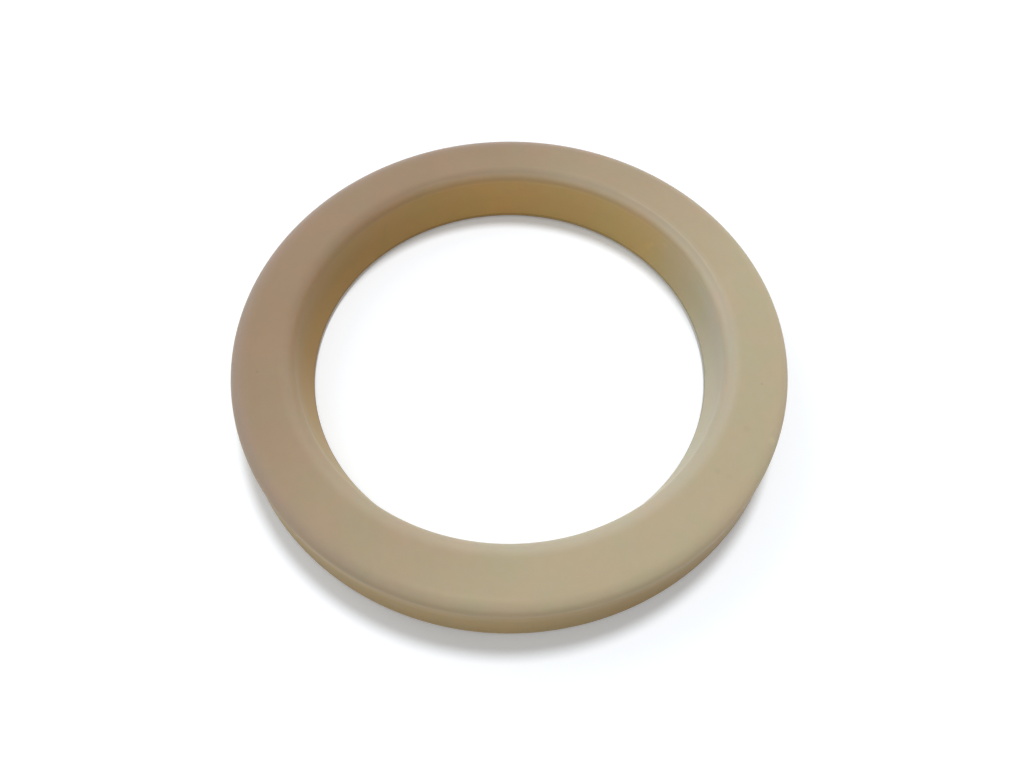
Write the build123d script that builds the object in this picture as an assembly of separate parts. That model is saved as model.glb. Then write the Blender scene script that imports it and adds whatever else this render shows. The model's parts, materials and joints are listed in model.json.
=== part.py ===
from build123d import *

import os
from math import radians, sin

# A U-cup rod seal, moulded in one piece of polyurethane. It lies on the tips of its two lips, with
# its groove down and its closed heel up. +Z is the axis, and z = 0 is the plane of the lip tips.
# All lengths are in millimetres and all angles in degrees.

# What the seal fits between: a rod, and a housing bored this much wider all round
rod_diameter = 70.0
gland_width = 10.0

# Heel, the solid ring at the top that fills the gap between rod and housing. Its corner arcs run
# tangent into the straight lands below them, and meet the flat heel face at a faint edge.
seal_height = 10.0
heel_rod_clearance = 0.05
heel_housing_squeeze = 0.10
heel_inner_corner_radius = 2.0
heel_outer_corner_radius = 1.8
heel_corner_sweep = 75.0
inner_land_length = 3.0
outer_land_length = 3.0

# Lips, which flare past rod and housing until the seal is fitted, and end in a lead-in bevel
inner_lip_interference = 1.25
outer_lip_interference = 0.78
lip_edge_height = 0.65
lip_bevel_width = 0.45

# Groove between the lips
groove_depth = 5.2
groove_mouth_width = 6.2
groove_root_radius = 1.3

rod_radius = rod_diameter / 2
housing_radius = rod_radius + gland_width
heel_inner_radius = rod_radius + heel_rod_clearance
heel_outer_radius = housing_radius + heel_housing_squeeze
lip_inner_radius = rod_radius - inner_lip_interference
lip_outer_radius = housing_radius + outer_lip_interference
inner_tip_radius = lip_inner_radius + lip_bevel_width
outer_tip_radius = lip_outer_radius - lip_bevel_width

# Heights at which the lands meet the corner arcs above them and the flares below them
inner_land_top = seal_height - heel_inner_corner_radius * sin(radians(heel_corner_sweep))
outer_land_top = seal_height - heel_outer_corner_radius * sin(radians(heel_corner_sweep))
inner_flare_start = inner_land_top - inner_land_length
outer_flare_start = outer_land_top - outer_land_length


def blank_section():
    """The half section, as radius and height, before its groove is cut."""
    inner_corner = CenterArc(
        (heel_inner_radius + heel_inner_corner_radius, inner_land_top),
        heel_inner_corner_radius,
        180,
        -heel_corner_sweep,
    )
    outer_corner = CenterArc(
        (heel_outer_radius - heel_outer_corner_radius, outer_land_top),
        heel_outer_corner_radius,
        heel_corner_sweep,
        -heel_corner_sweep,
    )
    heel_face = Line(inner_corner @ 1, outer_corner @ 0)
    lips = Polyline(
        outer_corner @ 1,
        (heel_outer_radius, outer_flare_start),
        (lip_outer_radius, lip_edge_height),
        (outer_tip_radius, 0),
        (inner_tip_radius, 0),
        (lip_inner_radius, lip_edge_height),
        (heel_inner_radius, inner_flare_start),
        inner_corner @ 0,
    )
    return make_face(inner_corner.edges() + heel_face.edges() + outer_corner.edges() + lips.edges())


def groove_section():
    """The groove: straight walls leave a mouth midway between the lip tips, and run tangent into a
    round root midway across the heel."""
    mouth_centre = (inner_tip_radius + outer_tip_radius) / 2
    root_centre = (heel_inner_radius + heel_outer_radius) / 2
    mouth = Line(
        (mouth_centre - groove_mouth_width / 2, 0),
        (mouth_centre + groove_mouth_width / 2, 0),
    )
    root = Pos(root_centre, groove_depth - groove_root_radius) * Circle(groove_root_radius)
    return make_hull(root.edges() + mouth.edges())


u_cup_seal = revolve(Plane.XZ * (blank_section() - groove_section()), Axis.Z)

os.makedirs("parts", exist_ok=True)
export_step(u_cup_seal, "parts/u_cup_seal.step")
print("section width", round(heel_outer_radius - heel_inner_radius, 2))
print("bore at the lips", 2 * lip_inner_radius, "outside at the lips", 2 * lip_outer_radius)
print("lands from", round(inner_flare_start, 3), round(outer_flare_start, 3))
print("to", round(inner_land_top, 3), round(outer_land_top, 3))
print("volume", round(u_cup_seal.volume), "mm3")
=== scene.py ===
import json
from math import asin, atan2, ceil, cos, hypot, pi, radians, sin, tan

import bpy
import numpy as np
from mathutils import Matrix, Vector


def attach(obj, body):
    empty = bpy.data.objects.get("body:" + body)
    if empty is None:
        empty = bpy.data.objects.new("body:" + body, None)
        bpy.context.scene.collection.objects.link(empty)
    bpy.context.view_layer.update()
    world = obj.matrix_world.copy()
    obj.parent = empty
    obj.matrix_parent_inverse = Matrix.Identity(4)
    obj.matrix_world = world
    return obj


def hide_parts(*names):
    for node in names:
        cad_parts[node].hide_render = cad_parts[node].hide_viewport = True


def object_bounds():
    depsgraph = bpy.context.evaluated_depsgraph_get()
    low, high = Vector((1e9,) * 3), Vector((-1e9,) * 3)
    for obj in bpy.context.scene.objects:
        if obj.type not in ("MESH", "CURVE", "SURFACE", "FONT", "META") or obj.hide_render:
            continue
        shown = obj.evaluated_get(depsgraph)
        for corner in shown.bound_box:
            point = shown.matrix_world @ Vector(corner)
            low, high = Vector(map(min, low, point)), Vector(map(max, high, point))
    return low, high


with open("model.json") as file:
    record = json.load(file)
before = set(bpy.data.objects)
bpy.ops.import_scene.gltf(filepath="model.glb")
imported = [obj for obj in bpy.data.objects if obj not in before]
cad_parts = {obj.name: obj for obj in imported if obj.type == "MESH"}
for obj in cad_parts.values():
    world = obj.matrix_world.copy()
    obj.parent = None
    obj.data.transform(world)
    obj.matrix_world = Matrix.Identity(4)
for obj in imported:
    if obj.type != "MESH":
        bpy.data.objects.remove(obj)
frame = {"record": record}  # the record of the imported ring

cadLow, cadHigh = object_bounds()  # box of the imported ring, before anything is added
mounts = {mount["name"]: mount for mount in frame["record"]["mounts"]}
mm = 0.001


# A wall between two heights at one radius, as the mount states it
def landOf(name):
    mount = mounts[name]
    radius = mount["dims"]["r_mm"] * mm
    reach = mount["dims"]["length_mm"] * mm / 2
    middle = mount["pos_m"][2]
    return radius, middle - reach, middle + reach


innerWall, innerKnee, innerLandTop = landOf("rod_bore")
outerWall, outerKnee, outerLandTop = landOf("housing_wall")
heelHeight = cadHigh.z
outerLip = cadHigh.x
print("frame read: heel", round(2000 * outerWall, 2), "mm outside,", round(1000 * heelHeight, 2), "mm high")


seal = {
    "cornerTilt": radians(55),    # turn of a heel corner's lower arc, which rises from its wall
    "heelBlend": 2.6 * mm,        # radius of its upper arc, which runs out into the heel face
    "kneeRounding": 9.0 * mm,     # long bend from each straight wall into its flared lip
    "innerFlare": 1.30 * mm,      # how far the inner lip leans in from the wall above it
    "lipEdgeHeight": 0.65 * mm,
    "lipBevel": 0.45 * mm,
    "edgeRounding": 0.07 * mm,    # trimmed lip edges are nearly sharp
    "grooveMouth": 6.2 * mm,
    "grooveDepth": 5.2 * mm,
    "grooveRoot": 1.3 * mm,       # radius of the groove's round bottom
    "mouthRounding": 0.35 * mm,
    "arcStep": radians(7),        # turn between neighbouring points on an arc
    "runStep": 0.8 * mm,          # length between neighbouring points on a straight run
    "leastStep": 0.001 * mm,      # closer points than this count as one
    "segments": 512,              # steps around the axis
}


# Where the groove's two walls would meet above its round bottom. Each wall runs from its mouth
# corner and touches the root circle, so it turns from the line to the circle's centre by
# asin(radius / distance). The walls' crossing is that of two straight lines.
def grooveApex(innerMouth, outerMouth, centre, radius):
    slopes = []
    for mouth, side in ((innerMouth, 1), (outerMouth, -1)):
        away = hypot(centre[0] - mouth, centre[1])
        angle = atan2(centre[1], centre[0] - mouth) + side * asin(radius / away)
        slopes.append(tan(angle))
    across = (slopes[0] * innerMouth - slopes[1] * outerMouth) / (slopes[0] - slopes[1])
    return across, slopes[0] * (across - innerMouth)


# A heel corner is two arcs in one smooth bend. The lower turns by the tilt t from the upright wall
# and the upper by the rest, so their rise is R1 * sin(t) + R2 * (1 - sin(t)), which gives R1, and
# their reach is R1 * (1 - cos(t)) + R2 * cos(t). Side is 1 where the corner leans outwards.
def heelCorner(wall, landTop, side):
    tilt, blend = seal["cornerTilt"], seal["heelBlend"]
    lower = (heelHeight - landTop - blend * (1 - sin(tilt))) / sin(tilt)
    reach = lower * (1 - cos(tilt)) + blend * cos(tilt)
    return (
        (wall + side * (reach - blend * tan(pi / 4 - tilt / 2)), heelHeight, blend),
        (wall, landTop + lower * tan(tilt / 2), lower),
    )


# The half section's corners, anticlockwise as radius, height and rounding
def sectionCorners():
    innerRim, innerShoulder = heelCorner(innerWall, innerLandTop, 1)
    outerRim, outerShoulder = heelCorner(outerWall, outerLandTop, -1)
    innerLip = innerWall - seal["innerFlare"]
    innerTip = innerLip + seal["lipBevel"]
    outerTip = outerLip - seal["lipBevel"]
    mouthCentre = (innerTip + outerTip) / 2
    innerMouth = mouthCentre - seal["grooveMouth"] / 2
    outerMouth = mouthCentre + seal["grooveMouth"] / 2
    rootCentre = ((innerWall + outerWall) / 2, seal["grooveDepth"] - seal["grooveRoot"])
    apex = grooveApex(innerMouth, outerMouth, rootCentre, seal["grooveRoot"])
    edge, knee = seal["edgeRounding"], seal["kneeRounding"]
    return [
        outerRim,
        innerRim,
        innerShoulder,
        (innerWall, innerKnee, knee),
        (innerLip, seal["lipEdgeHeight"], edge),
        (innerTip, 0, edge),
        (innerMouth, 0, seal["mouthRounding"]),
        (*apex, seal["grooveRoot"]),
        (outerMouth, 0, seal["mouthRounding"]),
        (outerTip, 0, edge),
        (outerLip, seal["lipEdgeHeight"], edge),
        (outerWall, outerKnee, knee),
        outerShoulder,
    ]


# Each corner becomes an arc that touches both its sides: it starts R * tan(turn / 2) before the
# corner, and its point at angle a is start + R * sin(a) along + R * (1 - cos(a)) sideways.
# Straight runs between arcs are cut into equal steps. Where two arcs meet with no run between
# them, as in the heel corners, their shared point is kept once.
def roundedOutline(corners):
    points = np.array([corner[:2] for corner in corners], float)
    arcs = []
    for i, (across, up, rounding) in enumerate(corners):
        along = points[i] - points[i - 1]
        onward = points[(i + 1) % len(points)] - points[i]
        along /= np.linalg.norm(along)
        onward /= np.linalg.norm(onward)
        turn = atan2(along[0] * onward[1] - along[1] * onward[0], along @ onward)
        sideways = np.array((-along[1], along[0])) * np.sign(turn)
        angles = np.linspace(0, abs(turn), ceil(abs(turn) / seal["arcStep"]) + 2)[:, None]
        start = points[i] - along * rounding * tan(abs(turn) / 2)
        arcs.append(start + rounding * (np.sin(angles) * along + (1 - np.cos(angles)) * sideways))
    outline = []
    for arc, following in zip(arcs, arcs[1:] + arcs[:1]):
        gap = np.linalg.norm(following[0] - arc[-1])
        shares = np.linspace(0, 1, ceil(gap / seal["runStep"]) + 1)[1:-1, None]
        outline += [arc, arc[-1] + shares * (following[0] - arc[-1])]
    outline = np.concatenate(outline)
    steps = np.linalg.norm(outline - np.roll(outline, 1, axis=0), axis=1)
    return outline[steps > seal["leastStep"]]


# The section carried round the axis: the point at angle t is (r * cos(t), r * sin(t), z). Rows and
# columns both wrap, so the skin is closed with no poles.
def revolvedRing(name, outline, segments):
    turn = np.linspace(0, 2 * pi, segments, endpoint=False)
    across = outline[:, :1]
    places = np.stack(
        (across * np.cos(turn), across * np.sin(turn), outline[:, 1:] + 0 * turn), axis=-1
    )
    row, column = np.meshgrid(np.arange(len(outline)), np.arange(segments), indexing="ij")
    nextRow, nextColumn = (row + 1) % len(outline), (column + 1) % segments
    quads = np.stack((
        row * segments + column,
        row * segments + nextColumn,
        nextRow * segments + nextColumn,
        nextRow * segments + column,
    ), axis=-1).reshape(-1, 4)
    mesh = bpy.data.meshes.new(name)
    mesh.vertices.add(places.size // 3)
    mesh.vertices.foreach_set("co", places.ravel())
    mesh.loops.add(quads.size)
    mesh.loops.foreach_set("vertex_index", quads.ravel())
    mesh.polygons.add(len(quads))
    mesh.polygons.foreach_set("loop_start", np.arange(0, quads.size, 4))
    mesh.update(calc_edges=True)
    mesh.validate()
    mesh.shade_smooth()
    ring = bpy.data.objects.new(name, mesh)
    bpy.context.scene.collection.objects.link(ring)
    return ring


outline = roundedOutline(sectionCorners())
ring = revolvedRing("moulded_ring", outline, seal["segments"])
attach(ring, "root")
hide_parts("u_cup_seal")
print("ring made:", len(outline), "points round the section,", 2 * len(ring.data.polygons), "triangles")


# Wraps an output socket, so that sums on it add Math nodes. node() makes them and every other
# node: the settings are set first, then each socket gets a value or a link.
class Wire:
    def __init__(self, tree, socket=None):
        self.tree, self.socket = tree, socket

    def node(self, kind, settings=None, sockets=None, output=0):
        made = self.tree.nodes.new(kind)
        for key, value in (settings or {}).items():
            if key == "stops":
                ramp = made.color_ramp
                while len(ramp.elements) < len(value):
                    ramp.elements.new(1)
                for element, (place, colour) in zip(ramp.elements, value):
                    element.position, element.color = place, (*colour, 1)
            else:
                setattr(made, key, value)
        for key, value in (sockets or {}).items():
            if isinstance(value, Wire):
                self.tree.links.new(value.socket, made.inputs[key])
            else:
                made.inputs[key].default_value = value
        return Wire(self.tree, made.outputs[output]) if made.outputs else made

    def sum(self, operation, first, second):
        return self.node("ShaderNodeMath", {"operation": operation}, {0: first, 1: second})

    def __add__(self, other): return self.sum("ADD", self, other)
    def __radd__(self, other): return self.sum("ADD", other, self)
    def __sub__(self, other): return self.sum("SUBTRACT", self, other)
    def __rsub__(self, other): return self.sum("SUBTRACT", other, self)
    def __mul__(self, other): return self.sum("MULTIPLY", self, other)
    def __rmul__(self, other): return self.sum("MULTIPLY", other, self)
    def __truediv__(self, other): return self.sum("DIVIDE", self, other)

    # 0 below low, 1 above high, and an even slope between
    def between(self, low, high):
        return self.node("ShaderNodeMapRange", {"clamp": True},
                         {"Value": self, "From Min": low, "From Max": high})

    # 1 up to the limit and 0 past it
    def below(self, limit):
        return self.sum("LESS_THAN", self, limit)

    # from one colour to another as the factor goes from 0 to 1
    def mix(self, factor, first, second, blend="MIX"):
        return self.node("ShaderNodeMix", {"data_type": "RGBA", "blend_type": blend},
                         {0: factor, 6: first, 7: second}, output=2)

    def noise(self, place, size, detail, roughness=0.5):
        return self.node("ShaderNodeTexNoise", {"noise_dimensions": "3D"},
                         {"Vector": place, "Scale": 1 / size, "Detail": detail, "Roughness": roughness})


def emptyMaterial(name):
    material = bpy.data.materials.new(name)
    material.use_nodes = True
    material.node_tree.nodes.clear()
    return material, Wire(material.node_tree)


urethane = {
    "bore": (                               # bore from left to right, amber to cream: painted light, the left in shade and the right lit, all more golden than the heel for light passing through the walls
        (0.0, (0.36, 0.205, 0.045)),
        (0.45, (0.56, 0.335, 0.085)),
        (0.85, (0.62, 0.43, 0.15)),
        (1.0, (0.58, 0.44, 0.20)),
    ),
    "boreNear": (0.48, 0.38, 0.21, 1),      # bore on the near side, greyer with painted sheen along its inner edge
    "nearReach": 0.9,                       # share of the bore's radius where it is wholly so
    "boreCream": (0.56, 0.50, 0.36, 1),     # bore towards the lit side, paler with painted light and sheen
    "creamStart": 0.68,                     # how much painted light the side has where this starts
    "outside": (0.455, 0.31, 0.115, 1),     # outer wall, and its right side, darker and browner in painted shade
    "outsideRight": (0.36, 0.235, 0.075, 1),
    "brownStart": 0.5,                      # shares of the way across between which the painted shade comes in
    "brownEnd": 0.75,
    "heelAmber": (0.335, 0.232, 0.145, 1),  # heel face on its far left side, darker in painted shade
    "heelCream": (0.47, 0.395, 0.262, 1),   # heel face on its front right side, paler with painted light and sheen
    "bloom": (0.52, 0.49, 0.43, 1),         # painted sheen along the heel's inner corner
    "lilac": (0.34, 0.275, 0.25, 1),        # painted reflection, bluish grey, along the heel's outer edge on the shaded side
    "lilacReach": 3.2 * mm,
    "lilacShare": 0.75,
    "lipTone": 0.74,                        # painted shade along the bore's sealing edge by the floor, up to lipShade
    "lipShade": 1.0 * mm,
    "paleSide": (0.82, -0.57, 0),           # direction of the side with the most painted light and sheen
    "driftStart": 0.15,                     # shares of the way across where the painted light's drift starts and ends
    "driftEnd": 0.80,
    "wallInset": 2 * mm,                    # the two walls' colours blend between these insets
    "wallStart": 0.35 * mm,                 # depths under the heel between which the wall's colour
    "wallTop": 2.4 * mm,                    # takes over from the heel's
    "bloomDepth": 1.6 * mm,                 # how far the painted sheen goes down the corner
    "bloomReach": 2.6 * mm,                 # and across it
    "bloomShare": 0.8,
    "cloudSize": 16 * mm,                   # wide clouds, which move the drift and the gloss a little
    "cloudShare": 0.10,
    "cloudDull": 0.15,
    "cloudDetail": 3,
    "tintSize": 7 * mm,                     # blotches between two faint tints
    "tintDetail": 3,
    "tintStart": 0.35,
    "tintEnd": 0.65,
    "rosy": (1.02, 0.99, 0.985, 1),
    "greenish": (0.97, 1.01, 0.985, 1),
    "grainSize": 1.6 * mm,                  # fine grain in the colour and the gloss
    "grainShare": 0.035,
    "grainDull": 0.1,
    "grainDetail": 4,
    "grainHarshness": 0.6,
    "roughness": 0.45,
    "refraction": 1.5,
    "scatter": 0.5,                         # share of light that passes under the skin
    "scatterDepth": 3 * mm,
    "scatterColours": (1.0, 0.6, 0.3),      # red light goes deepest
    "spotCore": 0.3,                        # shares of a spot's size, a line's spread and a line's
    "spreadCore": 0.6,                      # width inside which it shows in full
    "widthCore": 0.2,
    "spots": (       # azimuth, distance from the axis, height and size in mm, and how pale
        (332.8, 44.1, 9.7, 0.9, 1.10),
        (332.8, 40.0, 10.0, 0.8, 0.95),
        (320.3, 39.2, 10.0, 0.6, 0.95),
        (320.8, 40.9, 10.0, 0.6, 0.96),
        (345.0, 40.7, 10.0, 0.25, 0.82),
        (191.1, 40.5, 10.0, 0.25, 0.82),
        (41.2, 35.0, 3.7, 1.0, 1.07),
        (40.2, 35.0, 4.6, 0.7, 1.06),
        (35.7, 35.0, 6.7, 0.7, 1.05),
    ),
    "lines": (       # painted highlights on the heel's edges: azimuth of the middle, half its spread, distance from the axis, width, how pale
        (35, 24, 36.67, 0.22, 1.10),
        (62, 75, 35.45, 0.75, 1.16),
        (113.5, 6, 35.9, 0.2, 1.06),
        (261, 14, 43.0, 0.6, 1.03),
    ),
    "lineDepth": 2.2 * mm,                  # painted highlights show no deeper under the heel than this
    "rippleSize": 5 * mm,
    "rippleDetail": 2,
    "rippleDepth": 0.02 * mm,
    "rippleStrength": 0.5,
}


def castUrethane():
    material, wire = emptyMaterial("cast_polyurethane")
    place = wire.node("ShaderNodeTexCoord", output="Object")
    height = wire.node("ShaderNodeSeparateXYZ", {}, {0: place}, output="Z")
    side = wire.node("ShaderNodeVectorMath", {"operation": "DOT_PRODUCT"},
                     {0: place, 1: urethane["paleSide"]}, output="Value")
    clouds = wire.noise(place, urethane["cloudSize"], urethane["cloudDetail"]) - 0.5
    # painted light: the heel and bore paler towards the front right, where light and sheen fall most, and
    # darker towards the far left
    paintedLight = side / (2 * outerWall) + 0.5 + clouds * 2 * urethane["cloudShare"]
    paintedLight = paintedLight.between(urethane["driftStart"], urethane["driftEnd"])
    depth = heelHeight - height
    flat = wire.node("ShaderNodeVectorMath", {"operation": "MULTIPLY"}, {0: place, 1: (1, 1, 0)})
    radius = wire.node("ShaderNodeVectorMath", {"operation": "LENGTH"}, {0: flat}, output="Value")
    rightward = wire.node("ShaderNodeSeparateXYZ", {}, {0: place}, output="X")
    across = (rightward / innerWall + 1) * 0.5
    # painted light: the bore amber where it is shaded on the left, cream where it is lit on the right,
    # greyer with sheen on the near side
    bore = wire.node("ShaderNodeValToRGB", {"stops": urethane["bore"]}, {0: across})
    backward = wire.node("ShaderNodeSeparateXYZ", {}, {0: place}, output="Y")
    near = backward.between(0, -urethane["nearReach"] * innerWall)
    bore = wire.mix(near, bore, urethane["boreNear"])
    bore = wire.mix(paintedLight.between(urethane["creamStart"], 1), bore, urethane["boreCream"])
    heel = wire.mix(paintedLight, urethane["heelAmber"], urethane["heelCream"])
    # painted shade: the outer wall darker and browner on its right side
    rightShade = across.between(urethane["brownStart"], urethane["brownEnd"])
    outside = wire.mix(rightShade, urethane["outside"], urethane["outsideRight"])
    inset = urethane["wallInset"]
    walls = wire.mix(radius.between(innerWall + inset, outerWall - inset), bore, outside)
    # painted reflection: a bluish grey band along the heel's outer edge, strongest where there is least
    # painted light
    edge = (radius - (outerWall - urethane["lilacReach"])).between(0, urethane["lilacReach"])
    heel = wire.mix(edge * (1 - paintedLight) * urethane["lilacShare"], heel, urethane["lilac"])
    colour = wire.mix(depth.between(urethane["wallStart"], urethane["wallTop"]), heel, walls)
    # painted sheen: a pale grey band along the heel's inner corner, strongest on the lit side
    rim = (innerWall + urethane["bloomReach"] - radius).between(0, urethane["bloomReach"])
    sheenMask = rim * (urethane["bloomDepth"] - depth).between(0, urethane["bloomDepth"])
    colour = wire.mix(sheenMask * paintedLight * urethane["bloomShare"], colour, urethane["bloom"])
    tint = wire.noise(place, urethane["tintSize"], urethane["tintDetail"])
    tint = tint.between(urethane["tintStart"], urethane["tintEnd"])
    blotch = wire.mix(tint, urethane["greenish"], urethane["rosy"])
    colour = wire.mix(1, colour, blotch, "MULTIPLY")
    grain = wire.noise(
        place, urethane["grainSize"], urethane["grainDetail"], urethane["grainHarshness"]
    ) - 0.5
    shade = 1 + grain * 2 * urethane["grainShare"]
    # painted shade: the bore darker at its foot, where the lip meets the floor
    lip = height.below(urethane["lipShade"]) * radius.below(innerWall)
    shade = shade * (1 - lip * (1 - urethane["lipTone"]))
    for azimuth, reach, up, size, tone in urethane["spots"]:
        middle = (reach * cos(radians(azimuth)) * mm, reach * sin(radians(azimuth)) * mm, up * mm)
        away = wire.node("ShaderNodeVectorMath", {"operation": "DISTANCE"},
                         {0: place, 1: middle}, output="Value")
        spot = 1 - away.between(urethane["spotCore"] * size * mm, size * mm)
        shade = shade * (1 + spot * (tone - 1))
    # painted highlights: thin pale lines along the heel's rounded edges, where they catch the light
    for azimuth, spread, reach, width, tone in urethane["lines"]:
        aim = (cos(radians(azimuth)), sin(radians(azimuth)), 0)
        along = wire.node("ShaderNodeVectorMath", {"operation": "DOT_PRODUCT"},
                          {0: place, 1: aim}, output="Value") / radius
        core = cos(radians(urethane["spreadCore"] * spread))
        within = along.between(cos(radians(spread)), core)
        off = wire.node("ShaderNodeMath", {"operation": "ABSOLUTE"}, {0: radius - reach * mm})
        thin = 1 - off.between(urethane["widthCore"] * width * mm, width * mm)
        shade = shade * (1 + within * thin * depth.below(urethane["lineDepth"]) * (tone - 1))
    colour = wire.node("ShaderNodeVectorMath", {"operation": "SCALE"}, {0: colour, "Scale": shade})
    dull = clouds * urethane["cloudDull"] + grain * urethane["grainDull"]
    ripple = wire.noise(place, urethane["rippleSize"], urethane["rippleDetail"])
    bump = wire.node("ShaderNodeBump", {}, {
        "Strength": urethane["rippleStrength"],
        "Distance": urethane["rippleDepth"],
        "Height": ripple,
    })
    skin = wire.node("ShaderNodeBsdfPrincipled", {"subsurface_method": "RANDOM_WALK"}, {
        "Base Color": colour,
        "Roughness": urethane["roughness"] + dull,
        "Normal": bump,
        "IOR": urethane["refraction"],
        "Subsurface Weight": urethane["scatter"],
        "Subsurface Radius": urethane["scatterColours"],
        "Subsurface Scale": urethane["scatterDepth"],
    })
    wire.node("ShaderNodeOutputMaterial", {}, {"Surface": skin})
    return material


ring.data.materials.append(castUrethane())
print("polyurethane mixed")


studio = {
    "floorSize": 3.0,
    "floorBounce": (0.70, 0.70, 0.70, 1),   # how pale the floor is to the ring
    "floorGlow": 0.10,                      # share of the shown floor that no shadow darkens
    "floorShown": (0.96, 1.0, 1.05, 1),     # a little cool, against the amber light off the ring
    "key": {
        "azimuth": radians(80),
        "elevation": radians(67),
        "distance": 3.0,
        "size": 0.66,
        "level": 0.50,
    },
    "fill": {
        "azimuth": radians(138),
        "elevation": radians(40),
        "distance": 3.0,
        "size": 1.50,
        "level": 0.08,
    },
    "air": (0.44, 0.44, 0.44, 1),           # light from all round
    "backdrop": (1, 1, 1, 1),               # what the camera and the gloss see of it
}


# 1 for rays that show a surface, straight or by gloss or glass, and 0 for those that light others.
# A ray can be of two kinds at once, so their sum is held to 1.
def seenShare(wire):
    camera = wire.node("ShaderNodeLightPath", output="Is Camera Ray")
    glossy = wire.node("ShaderNodeLightPath", output="Is Glossy Ray")
    clear = wire.node("ShaderNodeLightPath", output="Is Transmission Ray")
    return (camera + glossy + clear).between(0, 1)


def whiteFloor():
    bpy.ops.mesh.primitive_plane_add(size=studio["floorSize"])
    floor = bpy.context.object
    floor.name = "floor"
    material, wire = emptyMaterial("white_floor")
    seen = seenShare(wire)
    bounce = wire.node("ShaderNodeBsdfDiffuse", {}, {"Color": studio["floorBounce"]})
    paper = wire.node("ShaderNodeBsdfDiffuse", {}, {"Color": studio["floorShown"]})
    glow = wire.node("ShaderNodeEmission", {}, {"Strength": studio["floorGlow"]})
    shown = wire.node("ShaderNodeAddShader", {}, {0: paper, 1: glow})
    surface = wire.node("ShaderNodeMixShader", {}, {0: seen, 1: bounce, 2: shown})
    wire.node("ShaderNodeOutputMaterial", {}, {"Surface": surface})
    floor.data.materials.append(material)


# A round lamp that faces the origin, and that gloss doesn't mirror, as behind a wide diffuser. It
# lights a white floor there to the given level, with a power of
# level * pi^2 * distance^2 / sin(elevation).
def discLamp(name, settings):
    up, turn, away = settings["elevation"], settings["azimuth"], settings["distance"]
    lamp = bpy.data.lights.new(name, "AREA")
    lamp.shape = "DISK"
    lamp.size = settings["size"]
    lamp.energy = settings["level"] * pi**2 * away**2 / sin(up)
    holder = bpy.data.objects.new(name, lamp)
    holder.location = away * Vector((cos(up) * cos(turn), cos(up) * sin(turn), sin(up)))
    holder.rotation_euler = (-holder.location).to_track_quat("-Z", "Y").to_euler()
    holder.visible_glossy = False
    bpy.context.scene.collection.objects.link(holder)


def softWorld():
    world = bpy.data.worlds.new("studio_air")
    bpy.context.scene.world = world
    world.use_nodes = True
    world.node_tree.nodes.clear()
    wire = Wire(world.node_tree)
    colour = wire.mix(seenShare(wire), studio["air"], studio["backdrop"])
    sky = wire.node("ShaderNodeBackground", {}, {"Color": colour, "Strength": 1})
    wire.node("ShaderNodeOutputWorld", {}, {"Surface": sky})


whiteFloor()
discLamp("key", studio["key"])
discLamp("fill", studio["fill"])
softWorld()

shot = {
    "distance": 2.4956 * outerWall,     # from the middle of the heel face
    "elevation": radians(56.0),
    "aim": (0.0083 * outerWall, -0.2278 * outerWall),
    "lens": 24.17,
    "sensor": 36,
    "nearest": 5 * mm,
}
camera = bpy.data.cameras.new("camera")
camera.lens = shot["lens"]
camera.sensor_width = shot["sensor"]
camera.clip_start = shot["nearest"]
eye = bpy.data.objects.new("camera", camera)
eye.location = (
    0,
    -shot["distance"] * cos(shot["elevation"]),
    shot["distance"] * sin(shot["elevation"]) + heelHeight,
)
aim = Vector((*shot["aim"], heelHeight))
eye.rotation_euler = (aim - eye.location).to_track_quat("-Z", "Y").to_euler()
bpy.context.scene.collection.objects.link(eye)
bpy.context.scene.camera = eye
bpy.context.scene.view_settings.view_transform = "Standard"
print("floor, lamps and camera set")
